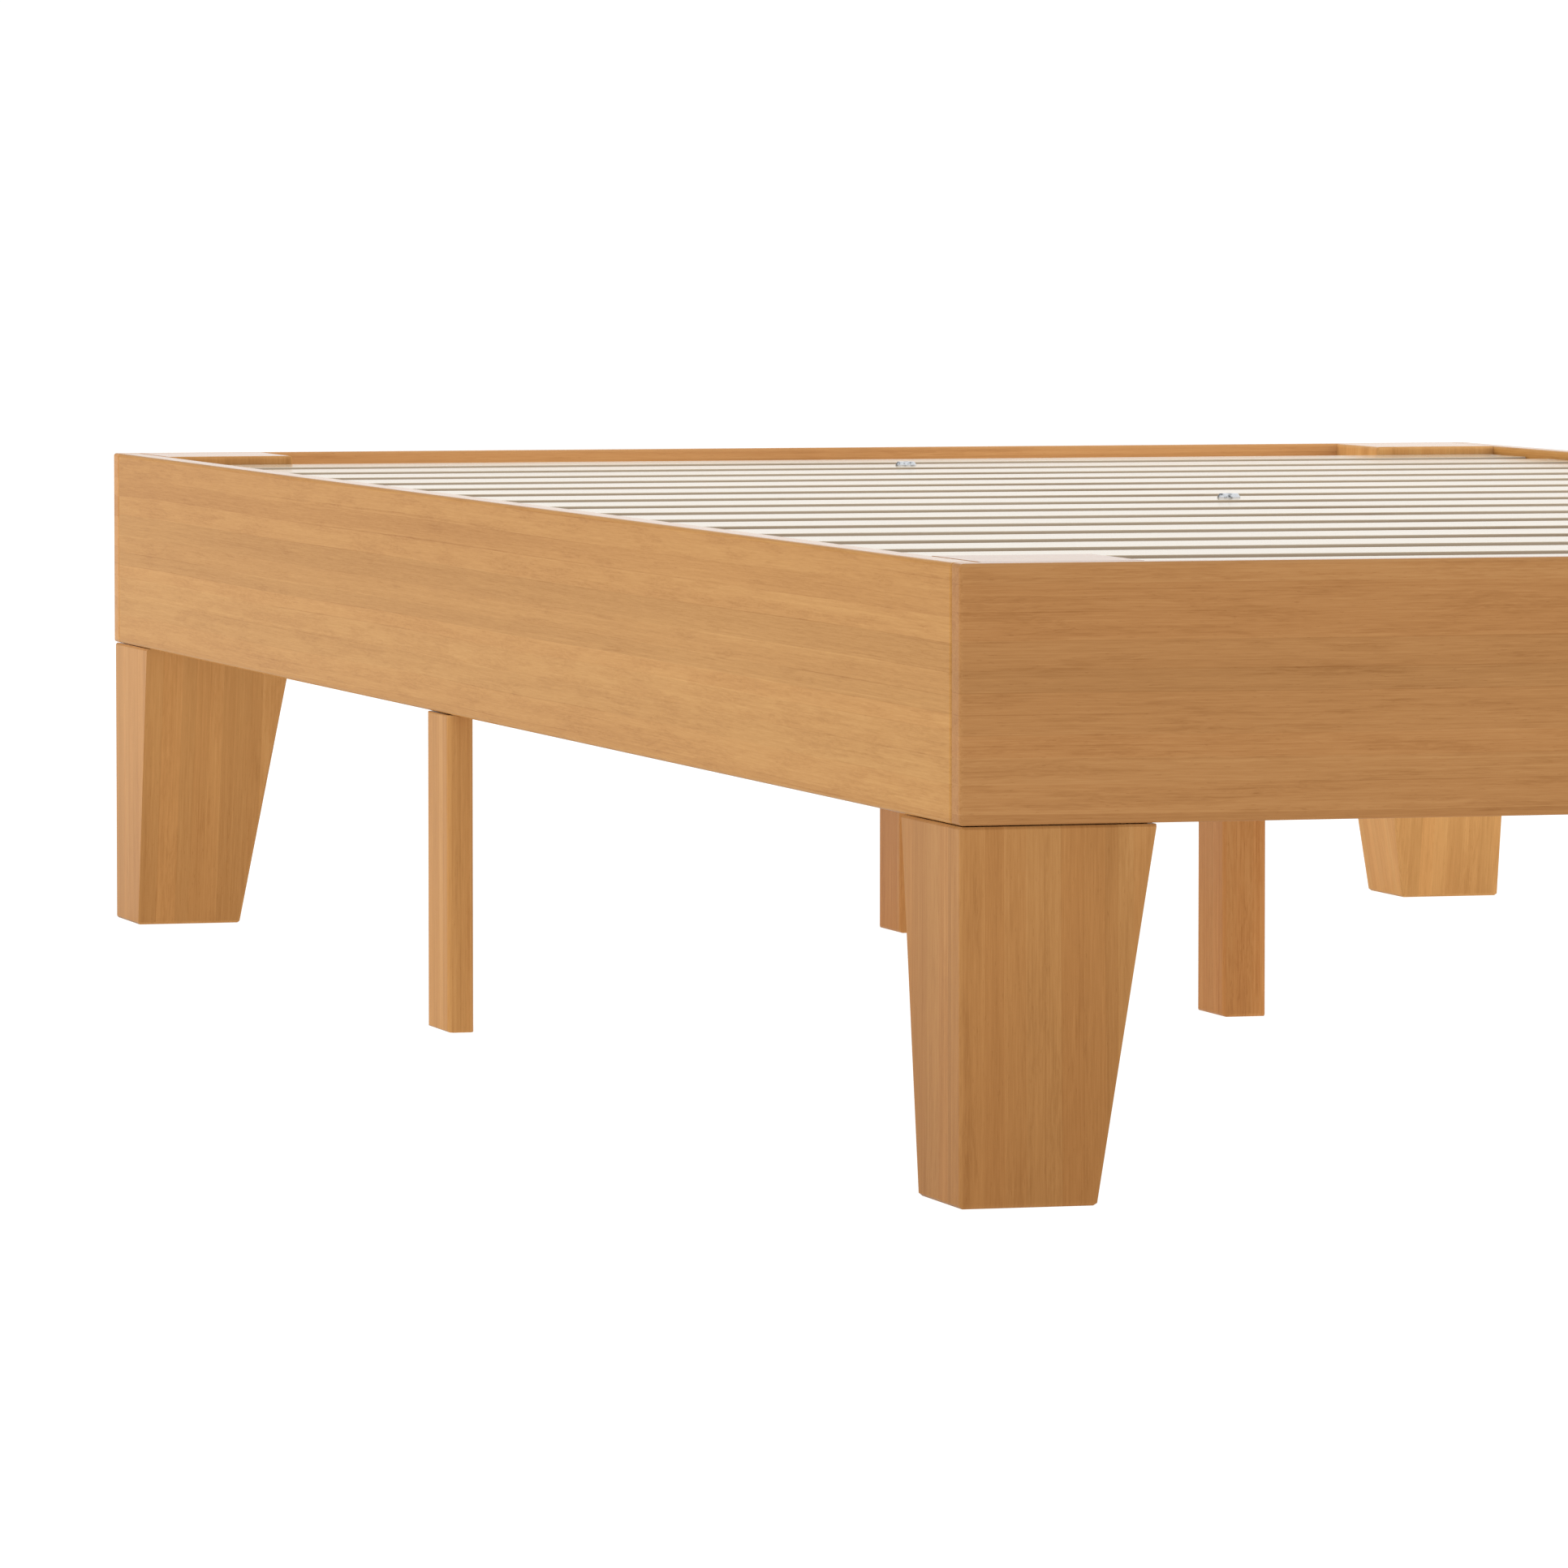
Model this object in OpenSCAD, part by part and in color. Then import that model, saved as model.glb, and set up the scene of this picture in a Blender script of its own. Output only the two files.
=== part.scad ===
// Wooden platform bed frame with a slatted deck, tapered corner posts and centre support legs.
// Millimetres. Origin at floor level under the middle of the frame: +X is right, +Y is the head end.

/* [Overall] */
// Outside length, foot to head
bed_l = 2108; // [1700:1:2600]
// Outside width, side to side
bed_w = 1048; // [800:1:1400]
// Height of the panels' top edge above the floor
bed_h = 340; // [280:1:420]

/* [Panels] */
// Height of the four panels
panel_h = 138; // [112:1:180]
// Thickness of the four panels
panel_t = 17; // [14:0.1:24]
// Rounding of the panels' edges
panel_r = 2.5; // [0.5:0.1:4]

/* [Corner posts] */
// Side of the square block at the top of a post
post_w = 109; // [90:0.1:135]
// Side of the square tip that a post stands on
tip_w = 76; // [60:0.1:90]
// Setback of a post's outer faces from the panels' outer faces
post_inset = 0.6; // [0.2:0.1:3]
// Shadow gap between a leg's shoulder and the panel above it
shoulder_gap = 0.5; // [0.5:0.1:3]
// Rounding of a post's upright edges
post_r = 3; // [1:0.1:6]
// Width of the chamfers on the legs' sloping edges, tips and shoulders
leg_chamfer = 1.5; // [0.5:0.1:3]

/* [Slats] */
// Number of slats
slat_n = 16; // [14:2:16]
// Width of a slat
slat_w = 73; // [58:0.1:90]
// Thickness of a slat
slat_t = 15; // [12:0.1:20]
// Depth of the deck below the panels' top edge
slat_drop = 6; // [4:0.1:12]
// Rounding of a slat's edges
slat_r = 0.6; // [0.3:0.1:3]
// Clearance at each end of a slat
slat_end_gap = 1.5; // [0.5:0.1:4]
// Clearance between the first slat and the corner posts
slat_post_gap = 1; // [0.5:0.1:4]

/* [Cleats] */
// Width of the cleats that carry the slats' ends
cleat_w = 25; // [20:0.1:32]
// Height of the cleats
cleat_h = 30; // [24:0.1:36]

/* [Centre rail] */
// Width of the rail under the slats' middles
rail_w = 29; // [24:0.1:36]
// Height of the rail
rail_h = 45; // [36:0.1:54]
// Thickness of the steel hangers at the rail's ends
hanger_t = 2; // [1.5:0.1:3]
// Depth of the hangers along the rail
hanger_d = 32; // [26:0.1:40]
// Width of each screw flange of a hanger
flange_w = 16; // [14:0.1:22]
// Clearance round the rail in its hangers
hanger_gap = 0.3; // [0.1:0.1:0.6]

/* [Centre and side legs] */
// Size of a centre leg along the bed
centre_leg_d = 59; // [50:0.1:72]
// Rounding of a centre leg's upright edges
centre_leg_r = 6; // [2:0.1:10]
// Distance from a slat's middle to the leg under it, towards the foot end
centre_leg_shift = 8; // [0:0.1:10]
// Size of a side leg along the bed
side_leg_d = 61; // [50:0.1:74]
// Rounding of a side leg's upright edges
side_leg_r = 7; // [1:0.1:8]
// Rounding of a side leg's top and bottom edges
side_leg_edge = 1.2; // [0.5:0.1:3]
// Place of the side legs along the bed
side_leg_y = 78; // [-100:1:140]
// Height of the steel plates that hold the side legs
plate_h = 104; // [88:0.1:124]
// Width of those plates
plate_w = 28; // [24:0.1:44]
// Thickness of those plates
plate_t = 2.5; // [2:0.1:4]

/* [Fasteners] */
// Diameter of the connector bolts
bolt_d = 6; // [5:0.1:8]
// Length of the connector bolts under the head
bolt_l = 78; // [70:0.1:84]
// Diameter of the connector bolts' heads
bolt_head_d = 15; // [12.5:0.1:18]
// Thickness of the connector bolts' heads
bolt_head_h = 3; // [2.5:0.1:3.6]
// Outside diameter of the threaded inserts
insert_d = 10; // [9.5:0.1:12]
// Length of the threaded inserts
insert_l = 11; // [9:0.1:13]
// Diameter of the wood dowels
dowel_d = 8; // [6.5:0.1:9.6]
// Length of the wood dowels
dowel_l = 30; // [25:0.1:34]
// Diameter of the wood screws
screw_d = 4; // [3.3:0.1:4.8]
// Length of the screws that hold the slats
slat_screw_l = 35; // [30:0.1:42]
// Length of the screws that hold the cleats
cleat_screw_l = 36; // [31:0.1:38]
// Length of the screws through steel
plate_screw_l = 15; // [12.5:0.1:17]
// Radial clearance of every fastener in its hole
fit_gap = 0.1; // [0.05:0.05:0.3]

/* [Hidden] */
$fn = 48;
eps = 0.01;

wood = "#c9995c";
wood_dark = "#b98950";
slat_wood = "#f0e8da";
steel = "#b9bdc2";
brass = "#b8985a";
dowel_wood = "#dcc193";

inner_w = bed_w - 2 * panel_t;
inner_l = bed_l - 2 * panel_t;
panel_z = bed_h - panel_h;
shoulder_z = panel_z - shoulder_gap;
deck_z = bed_h - slat_drop;
bearing_z = deck_z - slat_t;
rail_z = bearing_z - rail_h;
post_face_y = bed_l / 2 - post_w;

// Slats are numbered from the head end
slat_pitch = (2 * (post_face_y - slat_post_gap) - slat_w) / (slat_n - 1);
slat_l = inner_w - 2 * slat_end_gap;
slat_screw_x = inner_w / 2 - cleat_w / 2;
leg_slats = [2, 8, slat_n - 2];
bolt_to_dowel = 22;
cleat_screw_n = slat_n / 2;

// Heights of the fasteners above the panels' bottom edge
side_bolt_rise = [22, 72];
end_bolt_rise = [46, 100];
panel_dowel_rise = [34, 86];
corner_bolt_sink = post_w - panel_t + insert_l - bolt_l;
bolt_line = (panel_t + post_w) / 2;
panel_dowel_y = panel_t - dowel_l * 0.4;
leg_dowel_z = rail_z - dowel_l / 2;
tip_room = 1;
leg_tip_room = max(0, bolt_l - slat_t - rail_h - insert_l) + tip_room;

cleat_l = 2 * post_face_y - 2 * slat_post_gap;
cleat_screw_z = bearing_z - cleat_h / 2;
rail_l = inner_l - 2 * (hanger_t + hanger_gap);
saddle_w = rail_w + 2 * hanger_gap;
hanger_z = rail_z - hanger_gap;
hanger_h = rail_h * 0.8;
flange_screw_x = saddle_w / 2 + hanger_t + flange_w / 2;
flange_screw_rise = [hanger_h * 0.25, hanger_h * 0.75];
rail_screw_z = rail_z + rail_h * 0.5;
rail_screw_l = plate_screw_l * 0.8;
plate_screw_rise = [-plate_h * 0.38, -plate_h * 0.14, plate_h * 0.14, plate_h * 0.38];

SIDES = ["left", "right"];
ENDS = ["foot", "head"];
LEG_PLACES = ["head", "middle", "foot"];

function side_sign(side) = side == "left" ? -1 : 1;
function end_sign(end) = end == "foot" ? -1 : 1;
function slat_name(i) = str("slat_", i < 10 ? "0" : "", i);
function slat_y(i) = post_face_y - slat_post_gap - slat_w / 2 - (i - 1) * slat_pitch;
function leg_y(i) = slat_y(leg_slats[i]) - centre_leg_shift;
// The cleats' screws lie in every second gap between slats
function cleat_screw_y(i) = (slat_y(2 * i - 1) + slat_y(2 * i)) / 2;

// ---- Shared shapes ----

// Rectangle with round corners, centred
module rounded(x, y, r) {
  square([x - 2 * r, y], center = true);
  square([x, y - 2 * r], center = true);
  for (sx = [-1, 1], sy = [-1, 1])
    translate([sx * (x / 2 - r), sy * (y / 2 - r)]) circle(r);
}

// Board with every edge rounded by r, or its upright edges by rz, standing on z = 0
module board(x, y, z, r, rz) {
  intersection() {
    linear_extrude(z) rounded(x, y, rz);
    translate([0, y / 2, z / 2]) rotate([90, 0, 0]) linear_extrude(y) rounded(x, z, r);
    translate([-x / 2, 0, z / 2]) rotate([90, 0, 90]) linear_extrude(x) rounded(y, z, r);
  }
}

// Moves a shape drawn at the outside corner, with the bed along +x and +y, to a corner of the bed
module at_corner(end, side) {
  translate([side_sign(side) * bed_w / 2, end_sign(end) * bed_l / 2, 0])
    mirror([side == "right" ? 1 : 0, 0, 0])
      mirror([0, end == "head" ? 1 : 0, 0])
        children();
}

module at_corners() {
  for (e = ENDS, s = SIDES) at_corner(e, s) children();
}

module at_side(side) {
  mirror([side == "right" ? 1 : 0, 0, 0]) children();
}

module at_end(end) {
  mirror([0, end == "head" ? 1 : 0, 0]) children();
}

// ---- Fasteners: each points down from z = 0, where its head rests or its top lies flush ----

module bolt() {
  difference() {
    rotate_extrude() polygon([
      [0, bolt_head_h],
      [bolt_head_d / 2 - bolt_head_h / 2, bolt_head_h],
      [bolt_head_d / 2, bolt_head_h / 4],
      [bolt_head_d / 2, 0],
      [bolt_d / 2, 0],
      [bolt_d / 2, 1 - bolt_l],
      [bolt_d / 2 - 1, -bolt_l],
      [0, -bolt_l]
    ]);
    // Hexagon socket
    translate([0, 0, bolt_head_h * 0.3]) cylinder(h = bolt_head_h, d = bolt_d * 0.75, $fn = 6);
  }
}

// Clearance hole of a bolt, with room for its head above z = 0
module bolt_hole(depth, head_room) {
  translate([0, 0, -depth]) cylinder(h = depth + eps, d = bolt_d + 1);
  if (head_room > 0) cylinder(h = head_room + eps, d = bolt_head_d + 1);
}

// Threaded insert with two barbed rings, top at z = 0
module insert() {
  bore_r = bolt_d / 2 + fit_gap;
  outer_r = insert_d / 2;
  neck_r = outer_r - 0.8;
  translate([0, 0, -insert_l]) rotate_extrude() polygon([
    [bore_r, 0],
    [neck_r, 0],
    [outer_r, insert_l * 0.3],
    [neck_r, insert_l * 0.35],
    [outer_r, insert_l * 0.65],
    [neck_r, insert_l * 0.7],
    [outer_r, insert_l * 0.9],
    [outer_r, insert_l],
    [bore_r, insert_l]
  ]);
}

// Blind hole of an insert, with room for the bolt's tip
module insert_hole(depth_below) {
  translate([0, 0, -insert_l]) cylinder(h = insert_l + eps, d = insert_d + 2 * fit_gap);
  translate([0, 0, -insert_l - depth_below]) cylinder(h = depth_below + eps, d = bolt_d + 1);
}

// Wood dowel with chamfered ends, standing on z = 0
module dowel() {
  r = dowel_d / 2;
  rotate_extrude() polygon([
    [0, 0],
    [r - 1, 0],
    [r, 1],
    [r, dowel_l - 1],
    [r - 1, dowel_l],
    [0, dowel_l]
  ]);
}

module dowel_hole() {
  translate([0, 0, -1]) cylinder(h = dowel_l + 2, d = dowel_d + 2 * fit_gap);
}

module screw_profile(length, grow) {
  polygon([
    [0, 0],
    [screw_d + grow, 0],
    [screw_d / 2 + grow, -screw_d * 0.55],
    [screw_d / 2 + grow, -length + screw_d],
    [grow, -length],
    [0, -length]
  ]);
}

// Countersunk wood screw with a cross recess, its head flush at z = 0
module screw(length) {
  difference() {
    rotate_extrude() screw_profile(length, 0);
    for (a = [0, 90])
      rotate(a) translate([-screw_d * 0.45, -0.4, -screw_d * 0.3])
        cube([screw_d * 0.9, 0.8, screw_d]);
  }
}

module screw_hole(length) {
  translate([0, 0, eps]) rotate_extrude() screw_profile(length + 2 * fit_gap, fit_gap);
}

// ---- Where the fasteners go ----

// Bolts that pull the side and end panels against the posts, heads sunk in the posts' inner faces
module corner_bolt_places() {
  sink = post_w - corner_bolt_sink;
  at_corners() {
    for (rise = side_bolt_rise)
      translate([sink, bolt_line, panel_z + rise]) rotate([0, 90, 0]) children();
    for (rise = end_bolt_rise)
      translate([bolt_line, sink, panel_z + rise]) rotate([-90, 0, 0]) children();
  }
}

module panel_insert_places() {
  at_corners() {
    for (rise = side_bolt_rise)
      translate([panel_t, bolt_line, panel_z + rise]) rotate([0, 90, 0]) children();
    for (rise = end_bolt_rise)
      translate([bolt_line, panel_t, panel_z + rise]) rotate([-90, 0, 0]) children();
  }
}

// Dowels from the side panels' ends into the end panels
module panel_dowel_places() {
  at_corners() for (rise = panel_dowel_rise)
    translate([panel_t / 2, panel_dowel_y, panel_z + rise]) rotate([-90, 0, 0]) children();
}

module centre_bolt_places() {
  for (i = leg_slats) translate([0, slat_y(i), deck_z]) children();
}

module leg_insert_places() {
  for (i = leg_slats) translate([0, slat_y(i), rail_z]) children();
}

module leg_dowel_places() {
  for (i = leg_slats) translate([0, slat_y(i) - bolt_to_dowel, leg_dowel_z]) children();
}

module slat_screw_places(slats) {
  for (i = slats, sx = [-1, 1]) translate([sx * slat_screw_x, slat_y(i), deck_z]) children();
}

module cleat_screw_places() {
  for (s = SIDES, i = [1 : cleat_screw_n])
    at_side(s) translate([-inner_w / 2 + cleat_w, cleat_screw_y(i), cleat_screw_z])
      rotate([0, 90, 0]) children();
}

module plate_screw_places() {
  for (s = SIDES, rise = plate_screw_rise)
    at_side(s) translate([-inner_w / 2 + plate_t, side_leg_y, panel_z + rise])
      rotate([0, 90, 0]) children();
}

module hanger_screw_places() {
  for (e = ENDS, sx = [-1, 1], rise = flange_screw_rise)
    at_end(e) translate([sx * flange_screw_x, -inner_l / 2 + hanger_t, hanger_z + rise])
      rotate([-90, 0, 0]) children();
}

module rail_screw_places() {
  for (e = ENDS, s = SIDES)
    at_end(e) at_side(s)
      translate([-saddle_w / 2 - hanger_t, -inner_l / 2 + hanger_t + hanger_d / 2, rail_screw_z])
        rotate([0, -90, 0]) children();
}

// ---- Panels ----

module end_panel(end) {
  color(wood) difference() {
    translate([0, end_sign(end) * (bed_l - panel_t) / 2, panel_z])
      board(bed_w, panel_t, panel_h, panel_r, panel_r);
    panel_insert_places() insert_hole(tip_room);
    panel_dowel_places() dowel_hole();
    hanger_screw_places() screw_hole(plate_screw_l);
  }
}

module side_panel(side) {
  color(wood) difference() {
    translate([side_sign(side) * (bed_w - panel_t) / 2, 0, panel_z])
      board(panel_t, inner_l, panel_h, panel_r, panel_r);
    panel_insert_places() insert_hole(tip_room);
    panel_dowel_places() dowel_hole();
    cleat_screw_places() screw_hole(cleat_screw_l);
    plate_screw_places() screw_hole(plate_screw_l);
  }
}

// ---- Corner posts ----

// Leg below the panels: the outer faces are upright and the inner faces taper to the tip
module tapered_leg() {
  face_cut = leg_chamfer / sqrt(2);
  intersection() {
    translate([0, post_w, 0]) rotate([90, 0, 0]) linear_extrude(post_w) leg_outline();
    rotate([90, 0, 90]) linear_extrude(post_w) leg_outline();
    linear_extrude(shoulder_z) leg_plan();
    // Chamfers on the sloping edges, first the innermost and then the two beside the outer faces
    sloping_bound(45, tip_w * sqrt(2) - face_cut, post_w * sqrt(2) - face_cut);
    for (a = [-45, 135])
      sloping_bound(a, (tip_w - post_inset) / sqrt(2) - face_cut, (post_w - post_inset) / sqrt(2) - face_cut);
  }
}

// Side view of a leg: distance from the outside corner across, height up
module leg_outline() {
  slope = (post_w - tip_w) / shoulder_z;
  polygon([
    [post_inset + leg_chamfer, 0],
    [tip_w - leg_chamfer, 0],
    [tip_w + slope * leg_chamfer, leg_chamfer],
    [post_w, shoulder_z],
    [post_inset + leg_chamfer, shoulder_z],
    [post_inset, shoulder_z - leg_chamfer],
    [post_inset, leg_chamfer]
  ]);
}

// Plan of a leg with its outside corner rounded
module leg_plan() {
  translate([post_w, post_w]) rotate(180) difference() {
    square(post_w);
    corner_cut(post_w - post_inset, post_w - post_inset, post_r);
  }
}

// Half space whose sloping face lies across direction a, at distance low at the floor and high at the shoulder
module sloping_bound(a, low, high) {
  far = 3 * post_w;
  rotate([0, 0, a]) rotate([90, 0, 0]) linear_extrude(2 * far, center = true)
    polygon([[-far, 0], [low, 0], [high, shoulder_z], [-far, shoulder_z]]);
}

// Block behind the panels, with its free edges rounded
module post_block() {
  block_w = post_w - panel_t;
  block_h = bed_h - shoulder_z;
  middle = panel_t + block_w / 2;
  intersection() {
    translate([middle, middle, shoulder_z]) linear_extrude(block_h) block_plan(block_w);
    translate([post_w, middle, shoulder_z]) rotate([0, -90, 0]) linear_extrude(block_w)
      block_side(block_w, block_h);
    translate([middle, post_w, shoulder_z]) rotate([90, 0, 0]) linear_extrude(block_w)
      rotate(90) mirror([0, 1, 0]) block_side(block_w, block_h);
  }
}

module block_plan(w) {
  polygon([
    [-w / 2, -w / 2],
    [w / 2, -w / 2],
    [w / 2, w / 2 - leg_chamfer],
    [w / 2 - leg_chamfer, w / 2],
    [-w / 2, w / 2]
  ]);
}

module block_side(w, h) {
  difference() {
    translate([0, -w / 2]) square([h, w]);
    corner_cut(h, w / 2, panel_r);
  }
}

// Waste outside a quarter circle of radius r that rounds the corner at x, y
module corner_cut(x, y, r) {
  difference() {
    translate([x - r, y - r]) square(r + 1);
    translate([x - r, y - r]) circle(r);
  }
}

module post(end, side) {
  color(wood_dark) difference() {
    at_corner(end, side) {
      tapered_leg();
      post_block();
    }
    corner_bolt_places() bolt_hole(bolt_l, corner_bolt_sink);
  }
}

// ---- Side legs ----

module side_leg(side) {
  color(wood_dark) difference() {
    translate([side_sign(side) * (bed_w - panel_t) / 2, side_leg_y, 0])
      board(panel_t, side_leg_d, shoulder_z, side_leg_edge, min(side_leg_r, panel_t / 2 - 0.5));
    plate_screw_places() screw_hole(plate_screw_l);
  }
}

module side_leg_plate(side) {
  color(steel) difference() {
    at_side(side) translate([-inner_w / 2, side_leg_y, panel_z]) rotate([0, 90, 0])
      linear_extrude(plate_t) rounded(plate_h, plate_w, plate_w / 5);
    plate_screw_places() screw_hole(plate_screw_l);
  }
}

// ---- Centre support ----

module centre_leg(i) {
  color(wood_dark) difference() {
    translate([0, leg_y(i), 0]) intersection() {
      linear_extrude(rail_z) rounded(rail_w, centre_leg_d, centre_leg_r);
      translate([0, centre_leg_d / 2, 0]) rotate([90, 0, 0]) linear_extrude(centre_leg_d)
        tip_outline(rail_w, rail_z);
      translate([-rail_w / 2, 0, 0]) rotate([90, 0, 90]) linear_extrude(rail_w)
        tip_outline(centre_leg_d, rail_z);
    }
    leg_insert_places() insert_hole(leg_tip_room);
    leg_dowel_places() dowel_hole();
  }
}

// Upright rectangle on y = 0 with its two bottom corners chamfered
module tip_outline(w, h) {
  polygon([
    [-w / 2 + leg_chamfer, 0],
    [w / 2 - leg_chamfer, 0],
    [w / 2, leg_chamfer],
    [w / 2, h],
    [-w / 2, h],
    [-w / 2, leg_chamfer]
  ]);
}

module centre_rail() {
  color(wood_dark) difference() {
    translate([0, 0, rail_z]) board(rail_w, rail_l, rail_h, slat_r, slat_r);
    centre_bolt_places() bolt_hole(bolt_l, 0);
    leg_dowel_places() dowel_hole();
    rail_screw_places() screw_hole(rail_screw_l);
  }
}

// Pressed steel saddle: back plate with two flanges, a floor and two cheeks
module rail_hanger(end) {
  back_w = saddle_w + 2 * (hanger_t + flange_w);
  color(steel) difference() {
    at_end(end) translate([0, -inner_l / 2, hanger_z - hanger_t]) {
      rotate([-90, 0, 0]) translate([0, -(hanger_h + hanger_t) / 2, 0]) linear_extrude(hanger_t)
        rounded(back_w, hanger_h + hanger_t, 3);
      translate([-saddle_w / 2 - hanger_t, 0, 0]) cube([saddle_w + 2 * hanger_t, hanger_d, hanger_t]);
      for (x = [-saddle_w / 2 - hanger_t, saddle_w / 2])
        translate([x, 0, 0]) cube([hanger_t, hanger_d, hanger_h + hanger_t]);
    }
    hanger_screw_places() screw_hole(plate_screw_l);
    rail_screw_places() screw_hole(rail_screw_l);
  }
}

// ---- Deck ----

module cleat(side) {
  color(wood_dark) difference() {
    translate([side_sign(side) * (inner_w - cleat_w) / 2, 0, bearing_z - cleat_h])
      board(cleat_w, cleat_l, cleat_h, slat_r, slat_r);
    cleat_screw_places() screw_hole(cleat_screw_l);
    slat_screw_places([1 : slat_n]) screw_hole(slat_screw_l);
  }
}

module slat(i) {
  color(slat_wood) difference() {
    translate([0, slat_y(i), bearing_z]) board(slat_l, slat_w, slat_t, slat_r, slat_r);
    slat_screw_places([i]) screw_hole(slat_screw_l);
    centre_bolt_places() bolt_hole(slat_t + 1, 0);
  }
}

// ---- Fastener groups ----

module corner_bolts() {
  color(steel) corner_bolt_places() bolt();
}

module panel_inserts() {
  color(brass) panel_insert_places() insert();
}

module panel_dowels() {
  color(dowel_wood) panel_dowel_places() dowel();
}

module centre_bolts() {
  color(steel) centre_bolt_places() bolt();
}

module leg_inserts() {
  color(brass) leg_insert_places() insert();
}

module leg_dowels() {
  color(dowel_wood) leg_dowel_places() dowel();
}

module slat_screws() {
  color(steel) slat_screw_places([1 : slat_n]) screw(slat_screw_l);
}

module cleat_screws() {
  color(steel) cleat_screw_places() screw(cleat_screw_l);
}

module plate_screws() {
  color(steel) plate_screw_places() screw(plate_screw_l);
}

module hanger_screws() {
  color(steel) hanger_screw_places() screw(plate_screw_l);
}

module rail_screws() {
  color(steel) rail_screw_places() screw(rail_screw_l);
}

// ---- Nodes ----

end_panel("head");  // head_panel
end_panel("foot");  // foot_panel
side_panel("left");  // left_panel
side_panel("right");  // right_panel
for (e = ENDS, s = SIDES)
  post(e, s);
for (s = SIDES) {
  side_leg(s);
  side_leg_plate(s);
  cleat(s);
}
for (i = [0 : 2])
  centre_leg(i);
centre_rail();
for (e = ENDS)
  rail_hanger(e);
for (i = [1 : slat_n])
  slat(i);
corner_bolts();
panel_inserts();
panel_dowels();
centre_bolts();
leg_inserts();
leg_dowels();
slat_screws();
cleat_screws();
plate_screws();
hanger_screws();
rail_screws();
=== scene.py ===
"""Looks of a low wooden platform bed frame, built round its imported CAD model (Blender 4.5).

Everything is in metres in the CAD's frame: floor at z = 0, +X to the right and +Y to the head end.
"""
import math
import random

import bmesh
import bpy
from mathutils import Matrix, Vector


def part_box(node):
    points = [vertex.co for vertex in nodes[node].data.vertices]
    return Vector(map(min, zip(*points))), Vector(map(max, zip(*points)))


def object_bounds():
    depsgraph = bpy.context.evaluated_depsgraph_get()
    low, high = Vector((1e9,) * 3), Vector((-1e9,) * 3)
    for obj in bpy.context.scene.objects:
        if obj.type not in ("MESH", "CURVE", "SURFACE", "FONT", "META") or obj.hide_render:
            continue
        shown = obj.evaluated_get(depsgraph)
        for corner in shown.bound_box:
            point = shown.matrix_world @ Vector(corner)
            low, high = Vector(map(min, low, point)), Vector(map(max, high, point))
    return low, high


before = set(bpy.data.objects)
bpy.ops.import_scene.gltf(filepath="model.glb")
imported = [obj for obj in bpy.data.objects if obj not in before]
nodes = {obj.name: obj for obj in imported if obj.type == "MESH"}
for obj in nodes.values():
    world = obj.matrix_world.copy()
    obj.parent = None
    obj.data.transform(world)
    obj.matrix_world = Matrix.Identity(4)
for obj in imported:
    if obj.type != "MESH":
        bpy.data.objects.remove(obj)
cad_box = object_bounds()

MM = 0.001
X, Y, Z = range(3)


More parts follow.
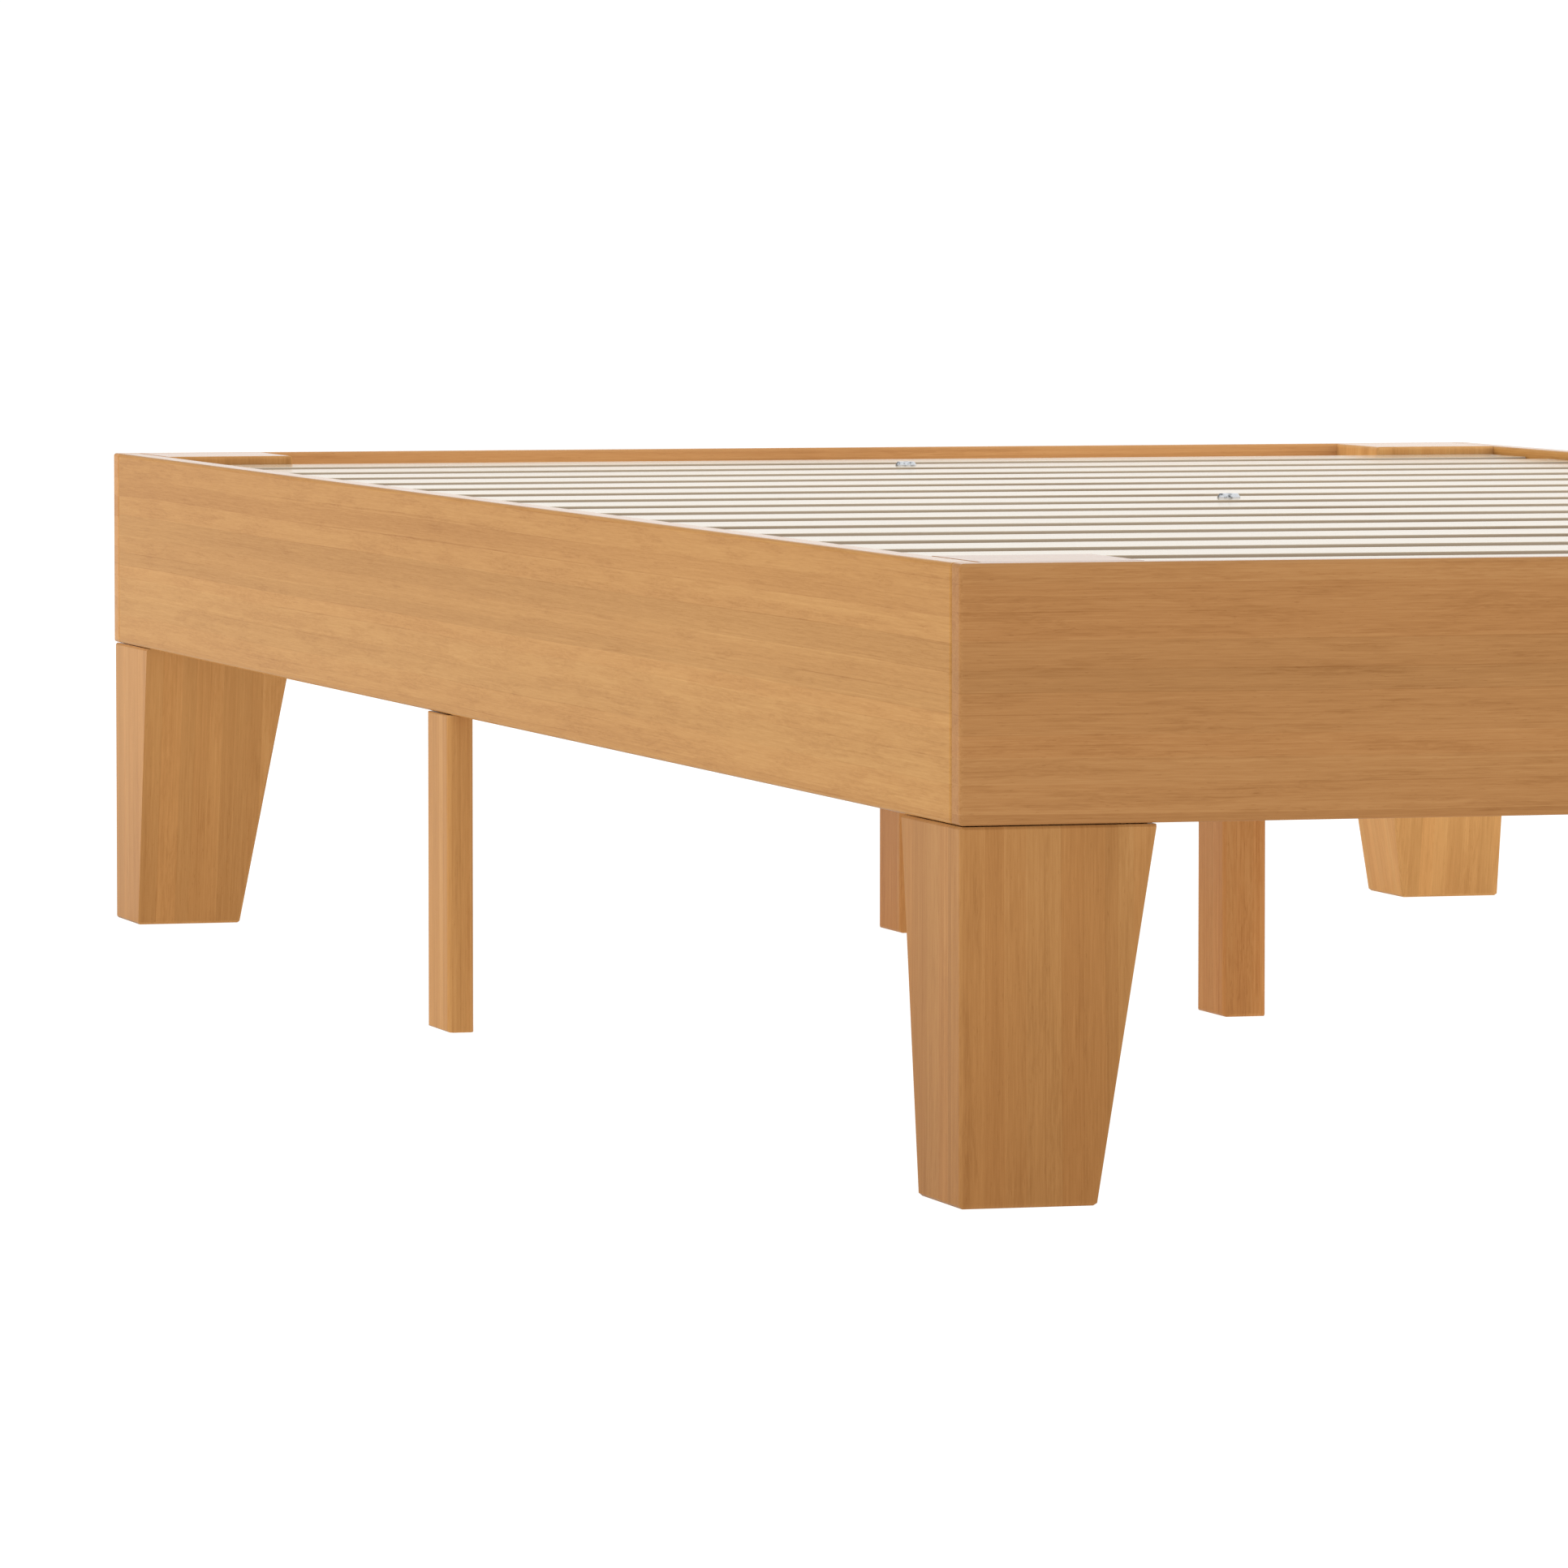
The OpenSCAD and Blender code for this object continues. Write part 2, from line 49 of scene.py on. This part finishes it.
# ---------------------------------------------------------------- node helpers
class Tree:
    """Adds nodes to a node tree; each method but node returns output sockets."""

    def __init__(self, tree):
        self.tree = tree

    def node(self, kind, inputs=None, **settings):
        made = self.tree.nodes.new(kind)
        for name, value in settings.items():
            setattr(made, name, value)
        for name, value in (inputs or {}).items():
            if isinstance(value, bpy.types.NodeSocket):
                self.tree.links.new(value, made.inputs[name])
            else:
                made.inputs[name].default_value = value
        return made

    def place(self):
        """The point on the object, in the CAD's frame."""
        return self.node("ShaderNodeTexCoord").outputs["Object"]

    def normal(self):
        """The way the surface faces."""
        return self.node("ShaderNodeNewGeometry").outputs["Normal"]

    def split(self, vector):
        """(x, y, z) of a vector."""
        return self.node("ShaderNodeSeparateXYZ", {0: vector}).outputs

    def vector(self, x, y, z):
        return self.node("ShaderNodeCombineXYZ", {"X": x, "Y": y, "Z": z}).outputs[0]

    def math(self, operation, a, b=0.0, c=0.0):
        return self.node("ShaderNodeMath", {0: a, 1: b, 2: c}, operation=operation).outputs[0]

    def add(self, a, b):
        return self.math("ADD", a, b)

    def subtract(self, a, b):
        return self.math("SUBTRACT", a, b)

    def times(self, a, b):
        return self.math("MULTIPLY", a, b)

    def scaled(self, a, factor, offset=0.0):
        return self.math("MULTIPLY_ADD", a, factor, offset)

    def smaller(self, a, b):
        return self.math("MINIMUM", a, b)

    def larger(self, a, b):
        return self.math("MAXIMUM", a, b)

    def noise(self, where, scale=1.0, detail=2.0, roughness=0.5, distortion=0.0):
        made = self.node("ShaderNodeTexNoise", {"Vector": where, "Scale": scale, "Detail": detail,
                                                "Roughness": roughness, "Distortion": distortion})
        return made.outputs["Fac"]

    def step(self, value, low, high, to_low=0.0, to_high=1.0, kind="SMOOTHSTEP"):
        """Step from to_low, at low, to to_high, at high."""
        return self.node("ShaderNodeMapRange", {"Value": value, "From Min": low, "From Max": high,
                                                "To Min": to_low, "To Max": to_high},
                         interpolation_type=kind).outputs["Result"]

    def ramp(self, value, stops):
        """A colour for the value, out of (value, colour) stops."""
        made = self.node("ShaderNodeValToRGB", {"Fac": value})
        band = made.color_ramp
        for place, colour in stops[1:-1]:
            band.elements.new(place).color = (*colour, 1)
        for element, (place, colour) in ((band.elements[0], stops[0]), (band.elements[-1], stops[-1])):
            element.position, element.color = place, (*colour, 1)
        return made.outputs["Color"]

    def mix(self, factor, a, b, blend="MIX"):
        """Mix of two colours."""
        made = self.node("ShaderNodeMix", {"Factor": factor}, data_type="RGBA", blend_type=blend)
        for name, value in (("A", a), ("B", b)):
            socket = next(s for s in made.inputs if s.name == name and s.type == "RGBA")
            if isinstance(value, bpy.types.NodeSocket):
                self.tree.links.new(value, socket)
            else:
                socket.default_value = (*value, 1)
        return next(s for s in made.outputs if s.type == "RGBA")


def material(name):
    made = bpy.data.materials.new(name)
    made.use_nodes = True
    made.node_tree.nodes.clear()
    return made, Tree(made.node_tree)


def surface(t, colour, roughness, height, bump, depth, **constants):
    """A Principled surface with a bump of that depth. The constants go straight on its own sockets."""
    bumpy = t.node("ShaderNodeBump", {"Height": height, "Strength": bump, "Distance": depth})
    shader = t.node("ShaderNodeBsdfPrincipled", {"Base Color": colour, "Roughness": roughness,
                                                 "Normal": bumpy.outputs["Normal"], **constants})
    t.node("ShaderNodeOutputMaterial", {"Surface": shader.outputs[0]})


# ---------------------------------------------------------------- colours
def srgb(red, green, blue):
    """A colour as screens show it, 0 to 255, as the linear values that shaders take."""
    return tuple(c / 12.92 if c <= 0.04045 else ((c + 0.055) / 1.055) ** 2.4
                 for c in (red / 255, green / 255, blue / 255))


def palette(dark, usual, light):
    """The stops of a wood's tones, from three colours as screens show them."""
    return [(0.10, srgb(*dark)), (0.50, srgb(*usual)), (0.90, srgb(*light))]


PANEL_SIDE = palette((160, 109, 53), (188, 139, 80), (208, 162, 100))
PANEL_FOOT = palette((146, 99, 56), (174, 126, 78), (194, 148, 97))
# painted light: the panels' wood made lighter for the head panel, for the light its inner face gets
PANEL_HEAD_PAINTED_LIGHT = palette((171, 121, 74), (197, 147, 95), (214, 168, 114))
POST_FOOT = palette((146, 99, 54), (174, 125, 74), (198, 150, 96))
# painted light: the foot posts' wood made lighter, for the head posts and side legs that stand in shade under
# and behind the bed
POST_PAINTED_LIGHT = palette((161, 112, 63), (190, 140, 85), (211, 163, 106))
# painted light: lighter still, for the head-right post, standing in for the light that falls on its front
# from the right
POST_PAINTED_LIGHTER = palette((174, 126, 74), (202, 153, 96), (221, 175, 117))
CENTRE = palette((155, 100, 55), (185, 130, 77), (205, 154, 99))
HIDDEN = palette((146, 102, 58), (178, 134, 84), (198, 156, 106))
SLAT = palette((187, 168, 143), (211, 196, 173), (225, 212, 192))
# painted shade: the darker colour of the slats' long edge faces, which sit in shade in the gaps
EDGE_FACE_SHADE = srgb(128, 112, 94)
REDDER = [(0.0, (1.0, 0.955, 0.92)), (1.0, (1.0, 1.0, 1.0))]  # multiplies a stave's colour

PANELS = {"left_panel": PANEL_SIDE, "right_panel": PANEL_SIDE, "head_panel": PANEL_HEAD_PAINTED_LIGHT,
          "foot_panel": PANEL_FOOT}
POSTS = {"post_head_left": POST_PAINTED_LIGHT, "post_head_right": POST_PAINTED_LIGHTER, "post_foot_left": POST_FOOT,
         "post_foot_right": POST_FOOT}

STEEL = {"base": srgb(190, 192, 194), "stain_and_reflection_colour": srgb(150, 150, 150), "roughness": 0.32}
ZINC = {"base": srgb(188, 186, 178), "stain_and_reflection_colour": srgb(150, 146, 136), "roughness": 0.30}
BRASS = {"base": srgb(196, 160, 92), "stain_and_reflection_colour": srgb(150, 112, 60), "roughness": 0.28}
# painted reflection: near-black patches over most of the chrome stand for the dark reflections on its bolt
# heads
CHROME = {"base": srgb(214, 217, 221), "stain_and_reflection_colour": srgb(24, 26, 30), "roughness": 0.08,
          "scale": 900.0, "stain_and_reflection_share": 0.95}


# ---------------------------------------------------------------- wood
WOOD_IOR = 1.15  # low, so that the wood shines only at a glancing angle
WOOD_BUMP, WOOD_BUMP_DEPTH = 0.12, 0.04 * MM
PANEL_STAVE, BLOCK_STAVE = 13 * MM, 8 * MM  # widths of the strips that panels and blocks are glued up from
SWAY = 9 * MM  # how far the grain of staves wanders from a straight line


def board_axes(node, grain=None):
    """The axes along the grain, across it and through the board: its longest to its shortest side.

    A grain axis that is given comes first."""
    low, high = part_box(node)
    size = high - low
    order = sorted(range(3), key=lambda i: -size[i])
    return order if grain is None else [grain] + [i for i in order if i != grain]


def foot_print(node):
    """Lowest and highest (x, y) of what a node stands on: a tapered post's tip."""
    tip_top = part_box(node)[0].z + 2 * MM
    standing = [v.co for v in nodes[node].data.vertices if v.co.z < tip_top]
    return [min(v[i] for v in standing) for i in (X, Y)], [max(v[i] for v in standing) for i in (X, Y)]


def edge_distance(t, node, parts, order, shoulder=None):
    """How far a point on the board's surface is from the nearest edge line.

    With shoulder, the height where a tapered post starts to narrow, the edges follow its slopes."""
    low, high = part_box(node)
    if shoulder is not None:
        narrow = t.step(parts[Z], 0.0, shoulder, 1.0, 0.0, kind="LINEAR")
        tip_low, tip_high = foot_print(node)
    inside = []
    for i in order:
        start, end = low[i], high[i]
        if shoulder is not None and i != Z:
            start = t.scaled(narrow, tip_low[i] - low[i], low[i])
            end = t.scaled(narrow, tip_high[i] - high[i], high[i])
        inside.append(t.smaller(t.subtract(parts[i], start), t.subtract(end, parts[i])))
    # The smallest of the three distances is that to the face the point is on, so the middle one counts.
    smallest = t.smaller(inside[0], t.smaller(inside[1], inside[2]))
    largest = t.larger(inside[0], t.larger(inside[1], inside[2]))
    total = t.add(inside[0], t.add(inside[1], inside[2]))
    return t.subtract(total, t.add(smallest, largest))


def board_coordinates(t, node, seed, grain=None, shoulder=None):
    """(along, across, through) the board, each with an offset drawn for it, and its edge distance."""
    low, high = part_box(node)
    order = board_axes(node, grain)
    parts = t.split(t.place())
    edge = edge_distance(t, node, parts, order, shoulder)
    draw = random.Random(seed)
    offsets = [draw.uniform(3, 9) for _ in order]
    if grain is not None:
        normal = t.split(t.normal())
    shifted = []
    for i, offset in zip(order, offsets):
        centred = t.add(parts[i], -(low[i] + high[i]) / 2)
        if grain is not None and i != grain:
            # On a block's side faces, slanted ones too, the pattern changes only across the face.
            centred = t.times(centred, t.math("LESS_THAN", t.math("ABSOLUTE", normal[i]), 0.7))
        shifted.append(t.add(centred, offset))
    return shifted, edge


class Grain:
    """Noise that runs along a board: each layer says how often it changes per metre along and across."""

    def __init__(self, t, along, across, through):
        self.t, self.along, self.across, self.through = t, along, across, through

    def noise(self, per_along, per_across, detail=2.0, roughness=0.5, distortion=0.0):
        t = self.t
        where = t.vector(t.scaled(self.along, per_along), t.scaled(self.across, per_across),
                         t.scaled(self.through, per_across))
        return t.noise(where, detail=detail, roughness=roughness, distortion=distortion)


def rings(t, place, spacing):
    """Growth rings that far apart, as a wave from -1 to 1."""
    return t.math("SINE", t.scaled(place, math.tau / spacing))


def staves(t, place, width):
    """(random number of the stave, 1 on a glue line and 0 off it) of staves of about that width."""
    ruler = {"W": t.scaled(place, 1 / width), "Scale": 1.0}
    cell = t.node("ShaderNodeTexVoronoi", ruler, voronoi_dimensions="1D").outputs["Color"]
    line = t.node("ShaderNodeTexVoronoi", ruler, voronoi_dimensions="1D",
                  feature="DISTANCE_TO_EDGE").outputs["Distance"]
    number = t.node("ShaderNodeSeparateColor", {0: cell}).outputs[0]
    return number, t.step(line, 0.0, 0.5 * MM / width, 1.0, 0.0)


def staved_wood(node, stops, seed, stave=PANEL_STAVE, block=False, contrast=1.0, shoulder=None):
    """Glued-up hardwood: staves of differing tone, streaks, fibres, and feathered figure in patches.

    A block is glued both ways and its grain is upright; a board's staves are as thick as the board.
    With shoulder, for a tapered post, the leg below that height darkens a little towards the floor: painted
    shade, for the shade near the floor."""
    made, t = material("wood_" + node)
    (along, across, through), edge = board_coordinates(t, node, seed, Z if block else None, shoulder)
    sway = t.noise(t.vector(t.scaled(along, 1.4), t.scaled(across, 4.0), t.scaled(through, 4.0)), detail=1.0)
    wander = t.add(across, t.scaled(sway, SWAY))
    grain = Grain(t, along, wander, through)

    number, glue = staves(t, wander, stave)
    if block:
        # The two numbers give a third, so that each strip of the block has a tone of its own.
        number_2, glue_2 = staves(t, t.add(through, t.scaled(sway, SWAY)), stave * 1.4)
        number = t.math("FRACT", t.add(t.scaled(number, 5.3), t.scaled(number_2, 3.7)))
        glue = t.larger(glue, glue_2)
    fade = t.step(grain.noise(1.7, 25.0, detail=1.0), 0.35, 0.6, 0.35, 1.0)
    shade = t.scaled(t.times(t.scaled(number, 1.0, -0.5), fade), 1.0, 0.5)
    joint = t.times(glue, t.step(grain.noise(2.2, 40.0, detail=1.0), 0.40, 0.60, -0.15, 0.12))

    broad = grain.noise(2.2, 14.0)
    band = grain.noise(0.8, 95.0, detail=1.0)
    streak = grain.noise(1.8, 330.0, roughness=0.6)
    fibre = grain.noise(20.0, 950.0, detail=3.0, roughness=0.65)
    pore = grain.noise(60.0, 1500.0, roughness=0.7)
    dark_line = t.step(grain.noise(0.6, 410.0, detail=1.0), 0.66, 0.72)
    light_line = t.step(grain.noise(0.7, 370.0, detail=1.0), 0.67, 0.74)
    fleck = t.step(grain.noise(170.0, 1300.0, detail=1.0), 0.66, 0.78)

    # Feathered figure: growth rings cut at a slant, seen only in patches.
    ragged = t.scaled(grain.noise(16.0, 110.0, detail=4.0, roughness=0.65, distortion=0.3), 34 * MM)
    ring = rings(t, t.add(t.add(wander, t.scaled(through, 0.7)), ragged), 4.6 * MM)
    patchy = t.add(grain.noise(12.0, 125.0, detail=3.0, roughness=0.6), t.scaled(number, 0.22, -0.11))
    figure = t.times(t.step(patchy, 0.50, 0.62), t.scaled(ring, 0.5, 0.9))

    layers = ((shade, 0.27), (broad, 0.10), (band, 0.15), (streak, 0.22), (fibre, 0.36), (pore, 0.34))
    marks = ((figure, -0.09), (joint, 1.0), (dark_line, -0.09), (light_line, 0.08), (fleck, -0.14))
    tone = 0.5
    for layer, share in layers:
        tone = t.add(tone, t.scaled(layer, share * contrast, -share * contrast / 2))
    for mark, share in marks:
        tone = t.add(tone, t.scaled(mark, share * contrast))
    # Painted shade: below the shoulder a tapered post darkens towards the floor.
    if shoulder is not None:
        tone = t.add(tone, t.step(t.split(t.place())[Z], 0.0, shoulder, -0.17, 0.0))
    redder = t.ramp(t.math("FRACT", t.scaled(number, 7.7)), REDDER)
    colour = t.mix(1.0, t.ramp(tone, stops), redder, "MULTIPLY")
    worn = t.step(edge, 0.6 * MM, 3.2 * MM, 1.0, 0.0)
    colour = t.mix(t.scaled(worn, 0.07), colour, stops[-1][1])

    roughness = t.add(t.scaled(fibre, 0.08, 0.08), t.add(t.scaled(worn, -0.03), t.scaled(fleck, 0.08)))
    hollows = t.scaled(t.add(glue, fleck), -0.35)
    height = t.add(t.scaled(fibre, 0.7), t.add(t.scaled(streak, 0.3), hollows))
    surface(t, colour, roughness, height, WOOD_BUMP, WOOD_BUMP_DEPTH, IOR=WOOD_IOR)
    return made


def slat_wood(node, stops, seed, edge_shade_share=0.0):
    """Pale planed softwood: soft even rings along it, fine fibres and a few resin flecks.

    The faces that look to the bed's ends, the slats' long edges, take edge_shade_share of a darker colour:
    painted shade for the gaps between slats."""
    made, t = material("wood_" + node)
    (along, across, through), edge = board_coordinates(t, node, seed)
    bow = t.noise(t.vector(t.scaled(along, 1.2), t.scaled(across, 6.0), through), detail=1.0)
    wander = t.add(across, t.scaled(bow, 14 * MM))
    grain = Grain(t, along, wander, through)

    ragged = t.scaled(grain.noise(6.0, 90.0, detail=3.0), 9 * MM)
    ring = rings(t, t.add(wander, t.add(ragged, t.scaled(through, 0.6))), 6.5 * MM)
    ring = t.times(ring, t.step(grain.noise(1.5, 30.0, detail=1.0), 0.40, 0.65, 0.25, 1.0))
    streak = grain.noise(1.6, 240.0)
    fibre = grain.noise(12.0, 900.0, detail=3.0, roughness=0.6)
    broad = grain.noise(3.0, 20.0)
    fleck = t.step(grain.noise(110.0, 1000.0, detail=1.0), 0.64, 0.76)

    tone = t.scaled(ring, 0.06, 0.5)
    for layer, share in ((streak, 0.30), (fibre, 0.34), (broad, 0.30)):
        tone = t.add(tone, t.scaled(layer, share, -share / 2))
    colour = t.ramp(t.add(tone, t.scaled(fleck, -0.22)), stops)
    # Painted shade: the faces that look to the bed's ends are darkened by the way they face.
    endways = t.math("ABSOLUTE", t.split(t.normal())[Y])
    colour = t.mix(t.step(endways, 0.6, 0.95, 0.0, edge_shade_share), colour, EDGE_FACE_SHADE)
    worn = t.step(edge, 0.2 * MM, 1.6 * MM, 1.0, 0.0)
    colour = t.mix(t.scaled(worn, 0.20), colour, stops[-1][1])

    height = t.add(fibre, t.scaled(ring, 0.1))
    surface(t, colour, t.scaled(fibre, 0.10, 0.08), height, WOOD_BUMP, WOOD_BUMP_DEPTH, IOR=WOOD_IOR)
    return made


# ---------------------------------------------------------------- metal
def metal(name, base, stain_and_reflection_colour, roughness, scale=700.0, stain_and_reflection_share=0.5):
    """Plated steel or brass: fine marks of turning, and patches of the colour stain_and_reflection_colour, as
    strong as stain_and_reflection_share: real stains on steel, zinc and brass, painted dark reflections on
    chrome.
    """
    made, t = material(name)
    place = t.place()
    # Patches of a second colour: real stains on steel, zinc and brass, painted dark reflections on chrome.
    stain_and_reflection_mask = t.step(t.noise(place, scale=scale * 0.35, detail=3.0), 0.45, 0.75)
    layered = t.node("ShaderNodeMapping", {"Vector": place, "Scale": (1.0, 1.0, 7.0)}).outputs[0]
    marks = t.noise(layered, scale=scale, detail=4.0, roughness=0.6)
    colour = t.mix(t.scaled(stain_and_reflection_mask, stain_and_reflection_share), base, stain_and_reflection_colour)
    rough = t.add(t.scaled(marks, 0.06, roughness), t.scaled(stain_and_reflection_mask, 0.08))
    surface(t, colour, rough, marks, bump=0.08, depth=0.05 * MM, Metallic=1.0)
    return made


# ---------------------------------------------------------------- each node's own material
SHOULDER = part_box("side_leg_left")[1].z  # where the side legs end and the posts start to narrow


def material_of(node, seed):
    """The node's own material; the seed gives its wood a pattern that no other node has."""
    if node in PANELS:
        return staved_wood(node, PANELS[node], seed)
    if node in POSTS:
        return staved_wood(node, POSTS[node], seed, BLOCK_STAVE, block=True, contrast=0.8, shoulder=SHOULDER)
    if node.startswith(("side_leg_plate", "rail_hanger")):
        return metal("steel_" + node, **STEEL)
    if node.startswith("side_leg"):
        return staved_wood(node, POST_PAINTED_LIGHT, seed, BLOCK_STAVE, block=True, contrast=0.85)
    if node.startswith("centre_leg"):
        return staved_wood(node, CENTRE, seed, BLOCK_STAVE, block=True)
    if node.startswith("slat_") and node != "slat_screws":
        return slat_wood(node, SLAT, seed, edge_shade_share=0.66)
    if node in ("centre_rail", "cleat_left", "cleat_right"):
        return staved_wood(node, HIDDEN, seed)
    if "dowels" in node:
        return slat_wood(node, HIDDEN, seed)
    if "inserts" in node:
        return metal("brass_" + node, **BRASS)
    if "bolts" in node:
        return metal("chrome_" + node, **CHROME)
    return metal("zinc_" + node, **ZINC)


for seed, node in enumerate(sorted(nodes), start=11):
    own = material_of(node, seed)
    for slot in nodes[node].material_slots:
        slot.link = "OBJECT"
        slot.material = own


# ---------------------------------------------------------------- stage, light and camera
FLOOR_RADIUS = 60.0
FLOOR_GLOW, REFLECTED_GLOW = 0.95, 0.20  # dim in reflections, so that upright faces keep their colour
FLAG_WAY = (-0.342, 0.940, 0.0)  # from the bed to the flag's middle: past the head end, to the left
FLAG_DARK, FLAG_EDGE = 24, 34  # degrees from its middle, where it starts to fade and where it ends
FLAG_LIGHT = 0.25
BACKGROUND = 1.05  # the room where the camera sees it: a little over white
CAMERA_FROM_MIDDLE, CAMERA_HEIGHT = (-2.0253, -5.9453), 0.5445
CAMERA_DOWN, CAMERA_RIGHT = 3.580, 16.030  # degrees from level, and from straight towards the head end
SENSOR, LENS = 36.0, 224.45  # in Blender's millimetres

low, high = cad_box
middle = (low + high) / 2


def add_object(name, data):
    made = bpy.data.objects.new(name, data)
    bpy.context.scene.collection.objects.link(made)
    return made


def floor():
    """A wide pale floor disc, glowing a little as a light table does; from below it lets the view through."""
    mesh = bpy.data.meshes.new("floor")
    shape = bmesh.new()
    bmesh.ops.create_circle(shape, cap_ends=True, segments=96, radius=FLOOR_RADIUS)
    shape.to_mesh(mesh)
    shape.free()
    paint, t = material("floor_paint")
    speck = t.noise(t.place(), scale=40.0)
    grey = t.ramp(speck, [(0.2, (0.19, 0.19, 0.19)), (0.8, (0.21, 0.21, 0.21))])
    diffuse = t.node("ShaderNodeBsdfDiffuse", {"Color": grey}).outputs[0]
    reflected = t.node("ShaderNodeLightPath").outputs["Is Glossy Ray"]
    strength = t.scaled(reflected, REFLECTED_GLOW - FLOOR_GLOW, FLOOR_GLOW)
    glow = t.node("ShaderNodeEmission", {"Color": (1, 1, 1, 1), "Strength": strength}).outputs[0]
    lit = t.node("ShaderNodeAddShader", {0: diffuse, 1: glow}).outputs[0]
    clear = t.node("ShaderNodeBsdfTransparent").outputs[0]
    from_below = t.node("ShaderNodeNewGeometry").outputs["Backfacing"]
    seen = t.node("ShaderNodeMixShader", {0: from_below, 1: lit, 2: clear}).outputs[0]
    t.node("ShaderNodeOutputMaterial", {"Surface": seen})
    mesh.materials.append(paint)
    made = add_object("floor", mesh)
    made.location = (middle.x, middle.y, low.z)


def studio_light():
    """A white room all round, with a grey flag past the head end, for the left panel's sheen to reflect."""
    world = bpy.data.worlds.new("studio")
    bpy.context.scene.world = world
    world.use_nodes = True
    world.node_tree.nodes.clear()
    t = Tree(world.node_tree)
    away = t.node("ShaderNodeTexCoord").outputs["Generated"]
    toward_flag = t.node("ShaderNodeVectorMath", {0: away, 1: FLAG_WAY},
                         operation="DOT_PRODUCT").outputs["Value"]
    edge, dark = (math.cos(math.radians(angle)) for angle in (FLAG_EDGE, FLAG_DARK))
    room = t.step(toward_flag, edge, dark, 1.0, FLAG_LIGHT)
    seen = t.node("ShaderNodeLightPath").outputs["Is Camera Ray"]
    strength = t.larger(room, t.scaled(seen, BACKGROUND))
    back = t.node("ShaderNodeBackground", {"Color": (1, 1, 1, 1), "Strength": strength})
    t.node("ShaderNodeOutputWorld", {"Surface": back.outputs[0]})


def area_light(name, place, target, width, height, power, colour):
    """A soft lamp aimed at the target. It shows neither to the camera nor in reflections."""
    data = bpy.data.lights.new(name, "AREA")
    data.shape, data.size, data.size_y = "RECTANGLE", width, height
    data.energy, data.color = power, colour
    made = add_object(name, data)
    made.location = place
    made.rotation_euler = (Vector(target) - Vector(place)).to_track_quat("-Z", "Y").to_euler()
    made.visible_camera = made.visible_glossy = False


def camera():
    """A long lens from beyond the foot end, on the left, that puts the near corner right of the middle."""
    data = bpy.data.cameras.new("camera")
    data.sensor_width, data.lens = SENSOR, LENS
    data.clip_start, data.clip_end = 0.1, 300.0
    made = add_object("camera", data)
    aside, back = CAMERA_FROM_MIDDLE
    made.location = (middle.x + aside, middle.y + back, low.z + CAMERA_HEIGHT)
    made.rotation_euler = (math.radians(90.0 - CAMERA_DOWN), 0.0, math.radians(-CAMERA_RIGHT))
    bpy.context.scene.camera = made


floor()
studio_light()
camera()
area_light("key", place=(-5.0, 4.0, 2.2), target=(0, 0, 0.2), width=4.0, height=3.0, power=150.0,
           colour=(1.0, 0.92, 0.72))
area_light("fill", place=(3.0, -0.3, 0.85), target=(0, 0.6, 0.2), width=1.2, height=1.6, power=36.0,
           colour=(1.0, 0.94, 0.84))
bpy.context.scene.view_settings.view_transform = "Standard"
